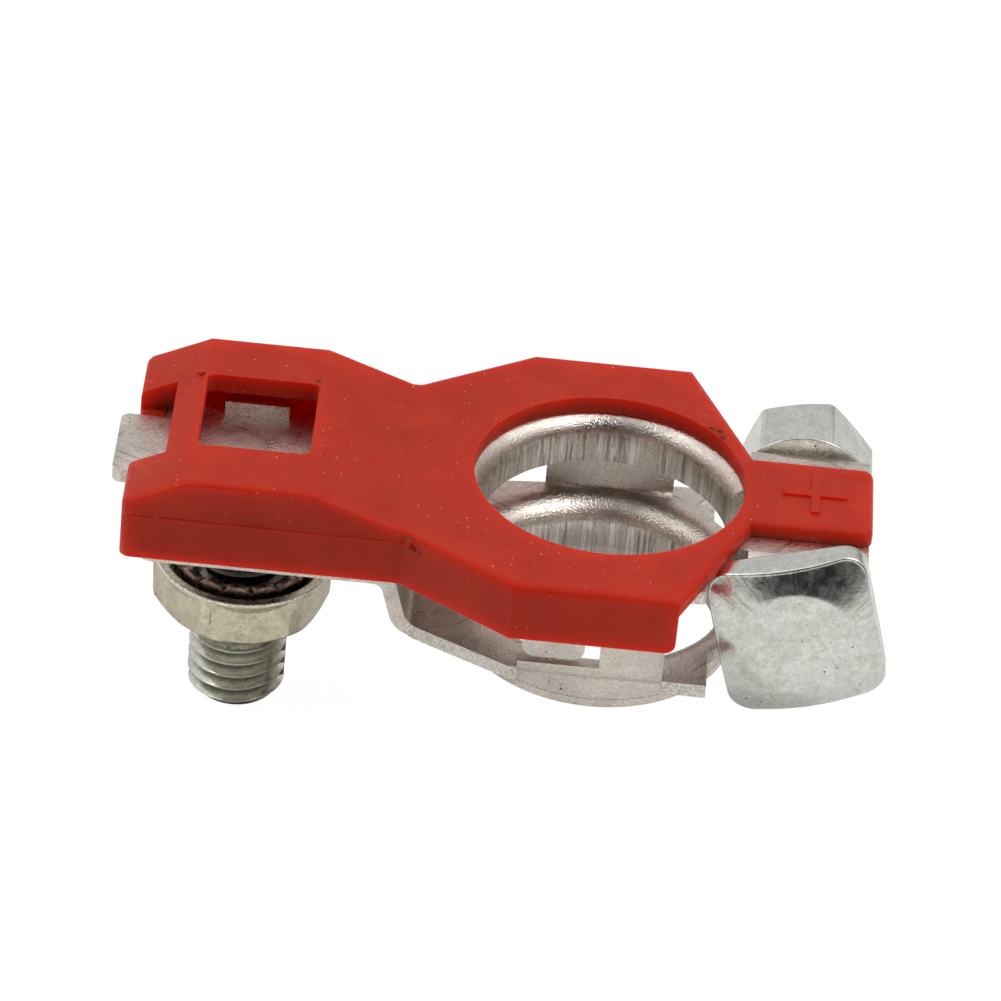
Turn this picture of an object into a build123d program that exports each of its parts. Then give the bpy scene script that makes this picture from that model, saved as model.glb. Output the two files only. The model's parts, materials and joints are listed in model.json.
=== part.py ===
from build123d import *
import os

# Battery terminal clamp, millimetres.
# Z is the post axis, up; X runs from the cable tail (-X) to the pinch bolt (+X).
# The origin is on the post axis, at the underside of the lower collar.

# Sheet metal and bore
sheet = 1.2
bore_r = 10.0
mouth_in = 0.8
low_mouth_in = 1.2
bend_in = 0.6
entry_r = sheet + mouth_in
low_entry_r = sheet + low_mouth_in
bend_r = sheet + bend_in
split_half = 2.2
over = 2.0

# Heights
lower_ring_top = 4.5
lower_ring_bot = lower_ring_top - sheet
tail_step = 4.75
lower_tail_bot = lower_ring_bot + tail_step
lower_tail_top = lower_tail_bot + sheet
stud_head_t = 2.5
upper_bot = lower_tail_top + stud_head_t
upper_top = upper_bot + sheet
collar_h = 4.17
upper_collar_bot = upper_top - collar_h

# Widths of the ring: walls outside the bore, tab and flange in line with them, skirt outside them
wall_land = 1.2
tab_inset = 0.2
flange_inset = 0.8
ring_land = 0.5
skirt_t = 1.2
skirt_gap = 1.6
lower_half = bore_r + low_entry_r + wall_land
tab_half = lower_half - tab_inset
flange_half = lower_half - flange_inset
lower_ring_r = bore_r + low_entry_r + ring_land
ring_half = lower_half + skirt_gap + skirt_t

# Cover
cover_t = 1.45
cover_top = upper_top + cover_t
roof_rise = 2.5
roof_t = 1.6
roof_top = cover_top + roof_rise
skirt_h = 5.1
skirt_corner_r = 0.9
skirt_bot = cover_top - skirt_h
step_drop = 1.15
step_z = cover_top - step_drop
step_in = 0.1
hole_margin = 0.93
cover_hole_r = bore_r + hole_margin
tail_half = 10.6
tongue_half = 4.6
edge_r = 0.7
corner_r = 0.9
window_half = 5.0
window_corner_r = 0.6
slot_half = 5.0
plus_len = 5.2
plus_w = 0.7
plus_h = 0.2

# Places along X, from the ring out along the tail
neck = 5.9
crease_in = 0.6
front_slope = 7.0
roof_len = 9.6
end_slope = 5.1
slot_depth = 2.9
tip_out = 1.4
tail_root = -(bore_r + neck)
roof_c = tail_root - crease_in
roof_b = roof_c - front_slope
roof_a = roof_b - roof_len
tail_end = roof_a - end_slope
slot_x = tail_end + slot_depth
tip_x = tail_end - tip_out
window_a = roof_a + 0.2
window_b = roof_b - 0.4
ring_a = -6.85
ring_b = 6.2
tongue_margin = 0.57
tongue_root = cover_hole_r + tongue_margin

# Upper plate outline
upper_land = 0.4
tip_half = slot_half - 1.0
tip_corner_r = 0.8
upper_tail_x = slot_x - 0.7
upper_neck = tail_root - 1.0
ear_gap = 0.1
ear_w = 5.2
flare_x = ring_a - 1.95
lug_near = bore_r - 1.7
lug_far = bore_r - 1.35
ear_low_r = 3.0
flange_corner_r = 0.4
tab_corner_r = 1.0
tab_bot = 5.6

# Lower plate outline
wall_inset = 0.85
lower_tail_half = tail_half - skirt_t - 0.15
step_top_a = tail_root - 0.55
step_top_b = tail_root + 0.85
step_bot_a = tail_root - 1.45
step_bot_b = tail_root - 0.05
low_wall_a = ring_a + wall_inset
far_wall_a = low_wall_a + 1.0
far_edge = lower_half - 1.2
far_neck_x = far_wall_a - 4.0
far_neck = far_edge - 0.5
tall_wall_w = 5.05
tall_wall_b = ring_b - 0.65
tall_wall_a = tall_wall_b - tall_wall_w
tab_a = low_wall_a + 0.3
tab_b = tall_wall_a - 1.25
lower_flare_x = low_wall_a - 0.6
low_wall_top = lower_ring_bot + bend_r + 0.05
ear_half = lower_tail_half
ear_in = ear_half - sheet
ear_tip = window_half + 0.3
hem_r = 0.9
upper_tail_half = ear_in - ear_gap
tail_corner_r = 1.5

# Stud and its nut
stud_back = 4.3
stud_x = roof_a + stud_back
ear_x = stud_x
stud_r = 4.0
stud_end = -9.9
stud_end_chamfer = 0.9
stud_head_w = 2 * (ear_in - 0.4)
stud_head_corner_r = 1.0
stud_hole_r = stud_r + 0.1
thread_gap = 0.3
tail_margin = 0.55
lower_tail_end = tail_end + skirt_t
stud_head_l = 2 * (stud_x - lower_tail_end - tail_margin)
nut_wall = 2.5
nut_af = 2 * (stud_r + nut_wall)
nut_bot = -2.0
nut_top = 3.2
nut_turn = 11.0
nut_rim_r = nut_af / 2 + 0.7
nut_rim_t = 0.35
nut_rim_cone = 1.0
nut_rim_w = 0.75
nut_low_chamfer = 1.5
nut_low_r = nut_af / 2 - 1.0
dish_r = nut_rim_r - nut_rim_w
dish_d = 1.5
washer_r = dish_r - 0.5
washer_w = 0.7
washer_lift = 0.05
crown_out = 0.75
petals = 16
petal_r = 1.3

# Pinch bolt and nut
head_w = 12.7
head_t = 3.5
head_turn = 16.0
head_reach = 0.6 * head_w
head_flat_r = 4.5
head_dome = 1.4
head_rim = 2.2
head_corner_r = 1.9
head_gap = 0.1
flange_end = bore_r - 1.72
lower_end = flange_end + 0.82
pinch_x = flange_end + head_reach + head_gap
pinch_drop = 6.2
pinch_z = cover_top - pinch_drop
pinch_r = 3.0
pinch_gap = 0.08
pinch_end_chamfer = 0.7
seat_gap = 0.05
pinch_nut_wall = 2.0
pinch_nut_af = 2 * (pinch_r + pinch_nut_wall)
pinch_nut_t = 6.1
pinch_nut_turn = 12.0
pinch_nut_chamfer = 0.4
pinch_nut_face_r = pinch_nut_af / 2 - 0.2
pinch_rim_r = pinch_nut_af / 2 + 0.66
pinch_rim_t = 0.3
pinch_rim_cone = 0.7
pinch_end_out = 2.4
ear_margin = 1.8
lug_front = 1.6
lug_back = 2.0
ear_drop = pinch_z - pinch_r - ear_margin
pinch_nut_y = lug_far + seat_gap
head_y = -lug_near - seat_gap
lug_start = pinch_x - pinch_r - lug_front
lug_end = pinch_x + pinch_r + lug_back
tongue_out = 0.2
tongue_end = lug_end + tongue_out
plus_x = pinch_x + 0.5

os.makedirs("parts", exist_ok=True)

# Red cover: roofed tail, octagon ring and flat tongue
outline = [
    (tail_end, -tail_half),
    (tail_root, -tail_half),
    (ring_a, -ring_half),
    (ring_b, -ring_half),
    (tongue_root, -tongue_half),
    (tongue_end, -tongue_half),
    (tongue_end, tongue_half),
    (tongue_root, tongue_half),
    (ring_b, ring_half),
    (ring_a, ring_half),
    (tail_root, tail_half),
    (tail_end, tail_half),
]
slope = skirt_t * 0.55
inner_outline = [
    (tail_end + skirt_t, -tail_half + skirt_t),
    (tail_root + slope, -tail_half + skirt_t),
    (ring_a + slope, -ring_half + skirt_t),
    (tongue_end, -ring_half + skirt_t),
    (tongue_end, ring_half - skirt_t),
    (ring_a + slope, ring_half - skirt_t),
    (tail_root + slope, tail_half - skirt_t),
    (tail_end + skirt_t, tail_half - skirt_t),
]
outer_roof = [
    (tail_end, skirt_bot),
    (tail_end, cover_top),
    (roof_a, roof_top),
    (roof_b, roof_top),
    (roof_c, cover_top),
    (tongue_end, cover_top),
    (tongue_end, upper_top),
    (ring_b, upper_top),
    (ring_b, skirt_bot),
]
inner_roof = [
    (tail_end, skirt_bot - over),
    (tail_end, upper_top),
    (tail_end + skirt_t, upper_top),
    (roof_a, roof_top - roof_t),
    (roof_b, roof_top - roof_t),
    (roof_c, upper_top),
    (ring_b + over, upper_top),
    (ring_b + over, skirt_bot - over),
]
with BuildPart() as cover_core:
    with BuildSketch(Plane.XZ):
        with BuildLine():
            Polyline(*inner_roof, close=True)
        make_face()
    extrude(amount=ring_half, both=True)
    with BuildSketch(Plane.XY):
        with BuildLine():
            Polyline(*inner_outline, close=True)
        make_face()
    extrude(amount=roof_top + over, both=True, mode=Mode.INTERSECT)

with BuildPart() as cover:
    with BuildSketch(Plane.XZ) as side_outline:
        with BuildLine():
            Polyline(*outer_roof, close=True)
        make_face()
        skirt_end = side_outline.vertices().sort_by_distance((ring_b, skirt_bot))[0]
        fillet(skirt_end, radius=skirt_corner_r)
    extrude(amount=ring_half + over, both=True)
    with BuildSketch(Plane.XY) as plan:
        with BuildLine():
            Polyline(*outline, close=True)
        make_face()
        fillet([v for v in plan.vertices() if v.X < tail_end + 0.1 or v.X > tongue_end - 0.1], radius=corner_r)
    extrude(amount=roof_top + over, both=True, mode=Mode.INTERSECT)
    top_edges = cover.faces().filter_by(lambda f: f.normal_at().Z > 0.8).edges()
    rims = [e for e in top_edges if abs(e.center().Y) > tongue_half - corner_r]
    fillet(rims, radius=edge_r)
    # Upper part of the tail stands a little inside the lower part
    with BuildSketch(Plane.XY.offset(step_z)):
        with Locations((tail_end, tail_half), (tail_end, -tail_half)):
            Rectangle(2 * (tail_root - tail_end), 2 * step_in)
    extrude(amount=cover_t + roof_rise + over, mode=Mode.SUBTRACT)
    add(cover_core.part, mode=Mode.SUBTRACT)
    # Post hole
    with BuildSketch(Plane.XY):
        Circle(cover_hole_r)
    extrude(amount=roof_top + over, both=True, mode=Mode.SUBTRACT)
    # Window over the tail plate
    with BuildSketch(Plane.XY.offset(upper_top)):
        with Locations(((window_a + window_b) / 2, 0)):
            RectangleRounded(window_b - window_a, 2 * window_half, window_corner_r)
    extrude(amount=cover_t + roof_rise + over, mode=Mode.SUBTRACT)
    # End slot for the plate's tip
    with BuildSketch(Plane.XY.offset(upper_bot - ear_gap)):
        with Locations((tail_end, 0)):
            Rectangle(2 * (slot_x - tail_end), 2 * slot_half)
    extrude(amount=roof_top - upper_bot + over, mode=Mode.SUBTRACT)
    # Raised polarity cross
    with BuildSketch(Plane.XY.offset(cover_top)):
        with Locations((plus_x, 0)):
            Rectangle(plus_len, plus_w)
            Rectangle(plus_w, plus_len)
    extrude(amount=plus_h)
cover.part.label = "cover"
export_step(cover.part, "parts/cover.step")

# Upper clamp plate: tail with tip, drawn collar, split ring and two bent lugs
upper_outline = [
    (tip_x, -tip_half),
    (upper_tail_x, -tip_half),
    (upper_tail_x, -upper_tail_half),
    (upper_neck, -upper_tail_half),
    (flare_x, -flange_half),
    (flange_end, -flange_half),
    (flange_end, -lug_near + bend_r),
    (lug_end, -lug_near + bend_r),
    (lug_end, lug_far - bend_r),
    (flange_end, lug_far - bend_r),
    (flange_end, flange_half),
    (flare_x, flange_half),
    (upper_neck, upper_tail_half),
    (upper_tail_x, upper_tail_half),
    (upper_tail_x, tip_half),
    (tip_x, tip_half),
]
with BuildPart() as upper:
    with BuildSketch(Plane.XY.offset(upper_bot)):
        with BuildLine():
            Polyline(*upper_outline, close=True)
        make_face()
        Circle(bore_r + entry_r + upper_land)
    extrude(amount=sheet)
    tips = [e for e in upper.edges().filter_by(Axis.Z) if e.center().X < tip_x + 0.1]
    fillet(tips, radius=tip_corner_r)
    corners = [e for e in upper.edges().filter_by(Axis.Z)
               if abs(e.center().X - flange_end) < 0.1 and abs(e.center().Y) > lug_far]
    fillet(corners, radius=flange_corner_r)
    # Two lugs with the ears bent down
    for side, lug in ((-1, lug_near), (1, lug_far)):
        y_out = side * lug
        y_in = side * (lug - sheet)
        y_bend = side * (lug - bend_r)
        with BuildSketch(Plane.YZ.offset(lug_start)):
            with BuildLine():
                Line((y_bend, upper_top), (y_bend, upper_bot))
                RadiusArc((y_bend, upper_bot), (y_in, upper_top - bend_r), side * (bend_r - sheet))
                Line((y_in, upper_top - bend_r), (y_in, ear_drop))
                Line((y_in, ear_drop), (y_out, ear_drop))
                Line((y_out, ear_drop), (y_out, upper_top - bend_r))
                RadiusArc((y_out, upper_top - bend_r), (y_bend, upper_top), -side * bend_r)
            make_face()
        extrude(amount=lug_end - lug_start)
    # Near side tab, bent down beside the lower plate's wall
    with BuildSketch(Plane.YZ.offset(tab_a)):
        with BuildLine():
            Line((-tab_half + bend_r, upper_top), (-tab_half + bend_r, upper_bot))
            RadiusArc((-tab_half + bend_r, upper_bot), (-tab_half + sheet, upper_top - bend_r), sheet - bend_r)
            Line((-tab_half + sheet, upper_top - bend_r), (-tab_half + sheet, tab_bot))
            Line((-tab_half + sheet, tab_bot), (-tab_half, tab_bot))
            Line((-tab_half, tab_bot), (-tab_half, upper_top - bend_r))
            RadiusArc((-tab_half, upper_top - bend_r), (-tab_half + bend_r, upper_top), bend_r)
        make_face()
    extrude(amount=tab_b - tab_a)
    low = [e for e in upper.edges().filter_by(Axis.Y)
           if e.length < sheet + 0.01 and abs(e.center().Z - ear_drop) < 0.01]
    fillet(low, radius=ear_low_r)
    lower_tab = [e for e in upper.edges().filter_by(Axis.Y)
                 if e.length < sheet + 0.01 and abs(e.center().Z - tab_bot) < 0.01]
    fillet(lower_tab, radius=tab_corner_r)
    # Bore, then the drawn collar with a rounded mouth
    with BuildSketch(Plane.XY.offset(upper_bot - over)):
        Circle(bore_r + entry_r)
    extrude(amount=sheet + 2 * over, mode=Mode.SUBTRACT)
    with BuildSketch(Plane.XZ):
        with BuildLine():
            Line((bore_r + entry_r, upper_bot), (bore_r + entry_r, upper_top))
            RadiusArc((bore_r + entry_r, upper_top), (bore_r, upper_top - entry_r), -entry_r)
            Line((bore_r, upper_top - entry_r), (bore_r, upper_collar_bot))
            Line((bore_r, upper_collar_bot), (bore_r + sheet, upper_collar_bot))
            Line((bore_r + sheet, upper_collar_bot), (bore_r + sheet, upper_top - entry_r))
            RadiusArc((bore_r + sheet, upper_top - entry_r), (bore_r + entry_r, upper_bot), entry_r - sheet)
        make_face()
    revolve(axis=Axis.Z)
    # Sheared end of the ring beside the lugs
    with BuildSketch(Plane.XY.offset(upper_bot - entry_r)):
        with Locations((flange_end + bore_r, -lug_near - bore_r), (flange_end + bore_r, lug_far + bore_r)):
            Rectangle(2 * bore_r, 2 * bore_r)
    extrude(amount=sheet + entry_r + over, mode=Mode.SUBTRACT)
    # Split toward the pinch bolt
    with BuildSketch(Plane.XY):
        with Locations((lug_end, 0)):
            Rectangle(2 * lug_end, 2 * split_half)
    extrude(amount=upper_top + over, mode=Mode.SUBTRACT)
    # Pinch bolt holes
    with BuildSketch(Plane.XZ):
        with Locations((pinch_x, pinch_z)):
            Circle(pinch_r + pinch_gap)
    extrude(amount=lug_far + over, both=True, mode=Mode.SUBTRACT)
upper.part.label = "upper_plate"
export_step(upper.part, "parts/upper_plate.step")

# Lower clamp plate: flat tail, step down, drawn collar, side walls and hem ears
step_profile = [
    (lower_tail_end, lower_tail_bot),
    (lower_tail_end, lower_tail_top),
    (step_top_a, lower_tail_top),
    (step_top_b, lower_ring_top),
    (lower_ring_r + over, lower_ring_top),
    (lower_ring_r + over, lower_ring_bot),
    (step_bot_b, lower_ring_bot),
    (step_bot_a, lower_tail_bot),
]
step_radii = [(step_top_a, 2.0), (step_bot_a, 0.9), (step_top_b, 1.2), (step_bot_b, 2.4)]
lower_outline = [
    (lower_tail_end, -lower_tail_half),
    (step_top_b, -lower_tail_half),
    (lower_flare_x, -lower_half),
    (lower_end, -lower_half),
    (lower_end, lower_half),
    (far_wall_a, lower_half),
    (far_wall_a, far_edge),
    (far_neck_x, far_neck),
    (step_top_b, lower_tail_half),
    (lower_tail_end, lower_tail_half),
]
with BuildPart() as lower:
    with BuildSketch(Plane.XZ) as side_view:
        with BuildLine():
            Polyline(*step_profile, close=True)
        make_face()
        for corner_x, corner_radius in step_radii:
            fillet([v for v in side_view.vertices() if abs(v.X - corner_x) < 0.01], radius=corner_radius)
    extrude(amount=lower_half + over, both=True)
    with BuildSketch(Plane.XY):
        with BuildLine():
            Polyline(*lower_outline, close=True)
        make_face()
        Circle(lower_ring_r)
    extrude(amount=lower_tail_top + over, both=True, mode=Mode.INTERSECT)
    for side in (-1, 1):
        # Bends at the ring's edge: trim the flat edge, then add the curled wall
        with BuildSketch(Plane.XY):
            wall_a = low_wall_a if side < 0 else far_wall_a
            with Locations(((wall_a + tall_wall_b) / 2, side * lower_half)):
                Rectangle(tall_wall_b - wall_a, 2 * bend_r)
        extrude(amount=lower_ring_top + over, mode=Mode.SUBTRACT)
        w_out = side * lower_half
        w_in = side * (lower_half - sheet)
        w_bend = side * (lower_half - bend_r)
        if side < 0:
            walls = [(low_wall_a, tall_wall_a, low_wall_top), (tall_wall_a, tall_wall_b, upper_bot)]
        else:
            walls = [(far_wall_a, tall_wall_b, upper_bot)]
        for x_a, x_b, w_top in walls:
            with BuildSketch(Plane.YZ.offset(x_a)):
                with BuildLine():
                    Line((w_bend, lower_ring_bot), (w_bend, lower_ring_top))
                    RadiusArc((w_bend, lower_ring_top), (w_in, lower_ring_bot + bend_r),
                              -side * (bend_r - sheet))
                    Line((w_in, lower_ring_bot + bend_r), (w_in, w_top))
                    Line((w_in, w_top), (w_out, w_top))
                    Line((w_out, w_top), (w_out, lower_ring_bot + bend_r))
                    RadiusArc((w_out, lower_ring_bot + bend_r), (w_bend, lower_ring_bot), side * bend_r)
                make_face()
            extrude(amount=x_b - x_a)
        # Hem ears folded over the upper plate
        with BuildSketch(Plane.YZ.offset(ear_x - ear_w / 2)):
            with BuildLine():
                Polyline(
                    (side * ear_in, lower_tail_bot),
                    (side * ear_half, lower_tail_bot),
                    (side * ear_half, upper_top + sheet - hem_r),
                    (side * (ear_half - hem_r), upper_top + sheet),
                    (side * ear_tip, upper_top + sheet),
                    (side * ear_tip, upper_top),
                    (side * ear_in, upper_top),
                    close=True,
                )
            make_face()
        extrude(amount=ear_w)
    tail_corners = [e for e in lower.edges().filter_by(Axis.Z) if e.center().X < lower_tail_end + 0.1]
    fillet(tail_corners, radius=tail_corner_r)
    # Bore, then the drawn collar with a rounded mouth
    with BuildSketch(Plane.XY):
        Circle(bore_r + low_entry_r)
    extrude(amount=lower_ring_top + over, mode=Mode.SUBTRACT)
    with BuildSketch(Plane.XZ):
        with BuildLine():
            Line((bore_r + low_entry_r, lower_ring_bot), (bore_r + low_entry_r, lower_ring_top))
            RadiusArc((bore_r + low_entry_r, lower_ring_top), (bore_r, lower_ring_top - low_entry_r), -low_entry_r)
            Line((bore_r, lower_ring_top - low_entry_r), (bore_r, 0))
            Line((bore_r, 0), (bore_r + sheet, 0))
            Line((bore_r + sheet, 0), (bore_r + sheet, lower_ring_top - low_entry_r))
            RadiusArc((bore_r + sheet, lower_ring_top - low_entry_r), (bore_r + low_entry_r, lower_ring_bot),
                      low_entry_r - sheet)
        make_face()
    revolve(axis=Axis.Z)
    # Split toward the pinch bolt
    with BuildSketch(Plane.XY):
        with Locations((lower_ring_r, 0)):
            Rectangle(2 * lower_ring_r, 2 * split_half)
    extrude(amount=lower_ring_top + over, mode=Mode.SUBTRACT)
    # Stud hole
    with BuildSketch(Plane.XY.offset(lower_tail_bot - over)):
        with Locations((stud_x, 0)):
            Circle(stud_hole_r)
    extrude(amount=sheet + 2 * over, mode=Mode.SUBTRACT)
lower.part.label = "lower_plate"
export_step(lower.part, "parts/lower_plate.step")

# Stud: thin square head held between the plates, plain shank
with BuildPart() as stud:
    with BuildSketch(Plane.XY.offset(lower_tail_top)):
        with Locations((stud_x, 0)):
            RectangleRounded(stud_head_l, stud_head_w, stud_head_corner_r)
    extrude(amount=stud_head_t)
    with BuildSketch(Plane.XY.offset(stud_end)):
        with Locations((stud_x, 0)):
            Circle(stud_r)
    extrude(amount=lower_tail_top - stud_end)
    chamfer(stud.edges().filter_by(GeomType.CIRCLE).sort_by(Axis.Z)[0], stud_end_chamfer)
stud.part.label = "stud"
export_step(stud.part, "parts/stud.step")

# Stud nut: hexagon with a round rim about a dish for its captive washer
with BuildPart() as stud_nut:
    with BuildSketch(Plane.XY.offset(nut_bot)):
        with Locations((stud_x, 0)):
            RegularPolygon(nut_af / 2, 6, major_radius=False, rotation=nut_turn)
    extrude(amount=nut_top - nut_bot)
    # Corners turned to the rim's radius, with a cone at the foot
    with BuildSketch(Plane.XZ):
        with BuildLine():
            Polyline(
                (stud_x, nut_bot),
                (stud_x + nut_low_r, nut_bot),
                (stud_x + nut_rim_r, nut_bot + nut_low_chamfer),
                (stud_x + nut_rim_r, nut_top),
                (stud_x, nut_top),
                close=True,
            )
        make_face()
    revolve(axis=Axis((stud_x, 0, 0), (0, 0, 1)), mode=Mode.INTERSECT)
    # Round rim, coned down into the flats
    with BuildSketch(Plane.XZ):
        with BuildLine():
            Polyline(
                (stud_x, nut_top),
                (stud_x + nut_rim_r, nut_top),
                (stud_x + nut_rim_r, nut_top - nut_rim_t),
                (stud_x + nut_af / 2, nut_top - nut_rim_t - nut_rim_cone),
                (stud_x, nut_top - nut_rim_t - nut_rim_cone),
                close=True,
            )
        make_face()
    revolve(axis=Axis((stud_x, 0, 0), (0, 0, 1)))
    with BuildSketch(Plane.XY.offset(nut_top - dish_d)):
        with Locations((stud_x, 0)):
            Circle(dish_r)
    extrude(amount=dish_d + over, mode=Mode.SUBTRACT)
    with BuildSketch(Plane.XY.offset(nut_bot - over)):
        with Locations((stud_x, 0)):
            Circle(stud_r + thread_gap)
    extrude(amount=nut_top - nut_bot + 2 * over, mode=Mode.SUBTRACT)
stud_nut.part.label = "stud_nut"
export_step(stud_nut.part, "parts/stud_nut.step")

# Captive crown washer in the nut's dish: a ring whose upper edge is a row of round petals
washer_bot = nut_top - dish_d + washer_lift
petal_z = nut_top + crown_out - petal_r
with BuildPart() as washer:
    with BuildSketch(Plane.XY.offset(washer_bot)):
        with Locations((stud_x, 0)):
            Circle(washer_r)
    extrude(amount=petal_z - washer_bot)
    with Locations((stud_x, 0, petal_z)):
        with PolarLocations(washer_r, petals):
            Cylinder(petal_r, 2 * washer_r, rotation=(0, 90, 0))
    with BuildSketch(Plane.XY.offset(washer_bot)):
        with Locations((stud_x, 0)):
            Circle(washer_r)
            Circle(washer_r - washer_w, mode=Mode.SUBTRACT)
    extrude(amount=nut_top + crown_out - washer_bot, mode=Mode.INTERSECT)
washer.part.label = "tooth_washer"
export_step(washer.part, "parts/tooth_washer.step")

# Pinch bolt along Y: square head, turned as in the photo
with BuildPart() as pinch_bolt:
    with BuildSketch(Plane.XZ.offset(-head_y)):
        with Locations((pinch_x, pinch_z)):
            RectangleRounded(head_w, head_w, head_corner_r, rotation=head_turn)
    extrude(amount=head_t)
    # Domed face with a flat round middle
    with BuildSketch(Plane.XY.offset(pinch_z)):
        with BuildLine():
            Polyline(
                (pinch_x, head_y),
                (pinch_x + head_w, head_y),
                (pinch_x + head_w, head_y - head_t + head_rim),
                (pinch_x + head_reach, head_y - head_t + head_dome),
                (pinch_x + head_flat_r, head_y - head_t),
                (pinch_x, head_y - head_t),
                close=True,
            )
        make_face()
    revolve(axis=Axis((pinch_x, 0, pinch_z), (0, 1, 0)), mode=Mode.INTERSECT)
    with BuildSketch(Plane.XZ.offset(-head_y)):
        with Locations((pinch_x, pinch_z)):
            Circle(pinch_r)
    extrude(amount=-(pinch_nut_y + pinch_nut_t + pinch_end_out - head_y))
    far = pinch_bolt.edges().filter_by(GeomType.CIRCLE).sort_by(Axis.Y)[-1]
    chamfer(far, pinch_end_chamfer)
pinch_bolt.part.label = "pinch_bolt"
export_step(pinch_bolt.part, "parts/pinch_bolt.step")

# Pinch nut: hexagon with a round rim against the ear and a chamfered outer end
with BuildPart() as pinch_nut:
    with BuildSketch(Plane.XZ.offset(-pinch_nut_y)):
        with Locations((pinch_x, pinch_z)):
            RegularPolygon(pinch_nut_af / 2, 6, major_radius=False, rotation=pinch_nut_turn)
    extrude(amount=-pinch_nut_t)
    with BuildSketch(Plane.XY.offset(pinch_z)):
        with BuildLine():
            Polyline(
                (pinch_x, pinch_nut_y),
                (pinch_x + pinch_rim_r, pinch_nut_y),
                (pinch_x + pinch_rim_r, pinch_nut_y + pinch_nut_t - pinch_nut_chamfer),
                (pinch_x + pinch_nut_face_r, pinch_nut_y + pinch_nut_t),
                (pinch_x, pinch_nut_y + pinch_nut_t),
                close=True,
            )
        make_face()
    revolve(axis=Axis((pinch_x, 0, pinch_z), (0, 1, 0)), mode=Mode.INTERSECT)
    with BuildSketch(Plane.XY.offset(pinch_z)):
        with BuildLine():
            Polyline(
                (pinch_x, pinch_nut_y),
                (pinch_x + pinch_rim_r, pinch_nut_y),
                (pinch_x + pinch_rim_r, pinch_nut_y + pinch_rim_t),
                (pinch_x + pinch_nut_af / 2, pinch_nut_y + pinch_rim_t + pinch_rim_cone),
                (pinch_x, pinch_nut_y + pinch_rim_t + pinch_rim_cone),
                close=True,
            )
        make_face()
    revolve(axis=Axis((pinch_x, 0, pinch_z), (0, 1, 0)))
    with BuildSketch(Plane.XZ.offset(-pinch_nut_y + over)):
        with Locations((pinch_x, pinch_z)):
            Circle(pinch_r + pinch_gap)
    extrude(amount=-(pinch_nut_t + 2 * over), mode=Mode.SUBTRACT)
pinch_nut.part.label = "pinch_nut"
export_step(pinch_nut.part, "parts/pinch_nut.step")

for piece in (cover, upper, lower, stud, stud_nut, washer, pinch_bolt, pinch_nut):
    box = piece.part.bounding_box()
    print(piece.part.label, round(piece.part.volume, 1), len(piece.part.solids()), box.min, box.max)
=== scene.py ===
import json
import math

import bpy
import numpy as np
from mathutils import Matrix, Vector


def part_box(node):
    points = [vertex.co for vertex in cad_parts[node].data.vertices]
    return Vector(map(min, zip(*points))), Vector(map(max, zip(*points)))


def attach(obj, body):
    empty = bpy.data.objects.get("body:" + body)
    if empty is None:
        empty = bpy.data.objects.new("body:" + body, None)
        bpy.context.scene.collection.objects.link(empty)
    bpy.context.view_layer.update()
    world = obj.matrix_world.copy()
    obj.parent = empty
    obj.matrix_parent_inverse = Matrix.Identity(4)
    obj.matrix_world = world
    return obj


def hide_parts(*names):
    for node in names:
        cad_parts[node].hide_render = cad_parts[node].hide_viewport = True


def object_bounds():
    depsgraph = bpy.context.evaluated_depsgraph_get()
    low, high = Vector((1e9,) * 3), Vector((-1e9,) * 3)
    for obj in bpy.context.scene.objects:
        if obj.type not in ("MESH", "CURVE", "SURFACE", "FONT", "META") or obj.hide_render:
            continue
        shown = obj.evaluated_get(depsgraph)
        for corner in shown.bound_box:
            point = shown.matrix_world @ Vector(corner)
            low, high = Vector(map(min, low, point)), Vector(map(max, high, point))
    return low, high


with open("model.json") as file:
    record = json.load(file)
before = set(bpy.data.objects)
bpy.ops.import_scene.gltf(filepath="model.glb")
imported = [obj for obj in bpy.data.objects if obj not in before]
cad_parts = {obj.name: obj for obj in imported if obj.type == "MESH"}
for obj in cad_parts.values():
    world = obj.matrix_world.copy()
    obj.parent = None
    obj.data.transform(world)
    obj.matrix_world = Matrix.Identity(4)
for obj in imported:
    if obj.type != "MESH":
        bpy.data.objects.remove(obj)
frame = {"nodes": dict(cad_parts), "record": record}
CAD_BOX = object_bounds()

bl_info = {
    "name": "Battery terminal clamp finish",
    "version": (1, 0, 0),
    "blender": (4, 5, 0),
    "location": "3D View > Sidebar > Clamp",
    "description": "Threads, worn finishes and a studio stage for a battery terminal clamp",
    "category": "Object",
}

MM = 0.001
THREAD_DEPTH = 0.6134
STUD_LOW, STUD_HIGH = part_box("stud")
BOLT_LOW, BOLT_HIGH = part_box("pinch_bolt")
ROOF_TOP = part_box("cover")[1].z
COVER_TOP = ROOF_TOP - 2.5 * MM
UPPER_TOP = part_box("upper_plate")[1].z
EAR_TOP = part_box("lower_plate")[1].z
LOWER_TAIL_TOP = 9.25 * MM
LOWER_RING_TOP = 4.5 * MM
SHEET = 1.2 * MM
# How far a threaded rod reaches into its head
OVERLAP = 0.3 * MM
POST_R = frame["record"]["mounts"][0]["dims"]["r_mm"] * MM
STUD_AXIS = ((STUD_LOW.x + STUD_HIGH.x) / 2, (STUD_LOW.y + STUD_HIGH.y) / 2)
PINCH_AXIS = ((BOLT_LOW.x + BOLT_HIGH.x) / 2, (BOLT_LOW.z + BOLT_HIGH.z) / 2)


def length(name, description, default):
    """A length property in metres."""
    return bpy.props.FloatProperty(
        name=name, description=description, default=default, min=0.0, unit="LENGTH", precision=5
    )


def tint(name, description, default):
    """A linear colour property."""
    return bpy.props.FloatVectorProperty(
        name=name, description=description, default=default, size=3, subtype="COLOR", min=0.0, max=1.0
    )


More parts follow.
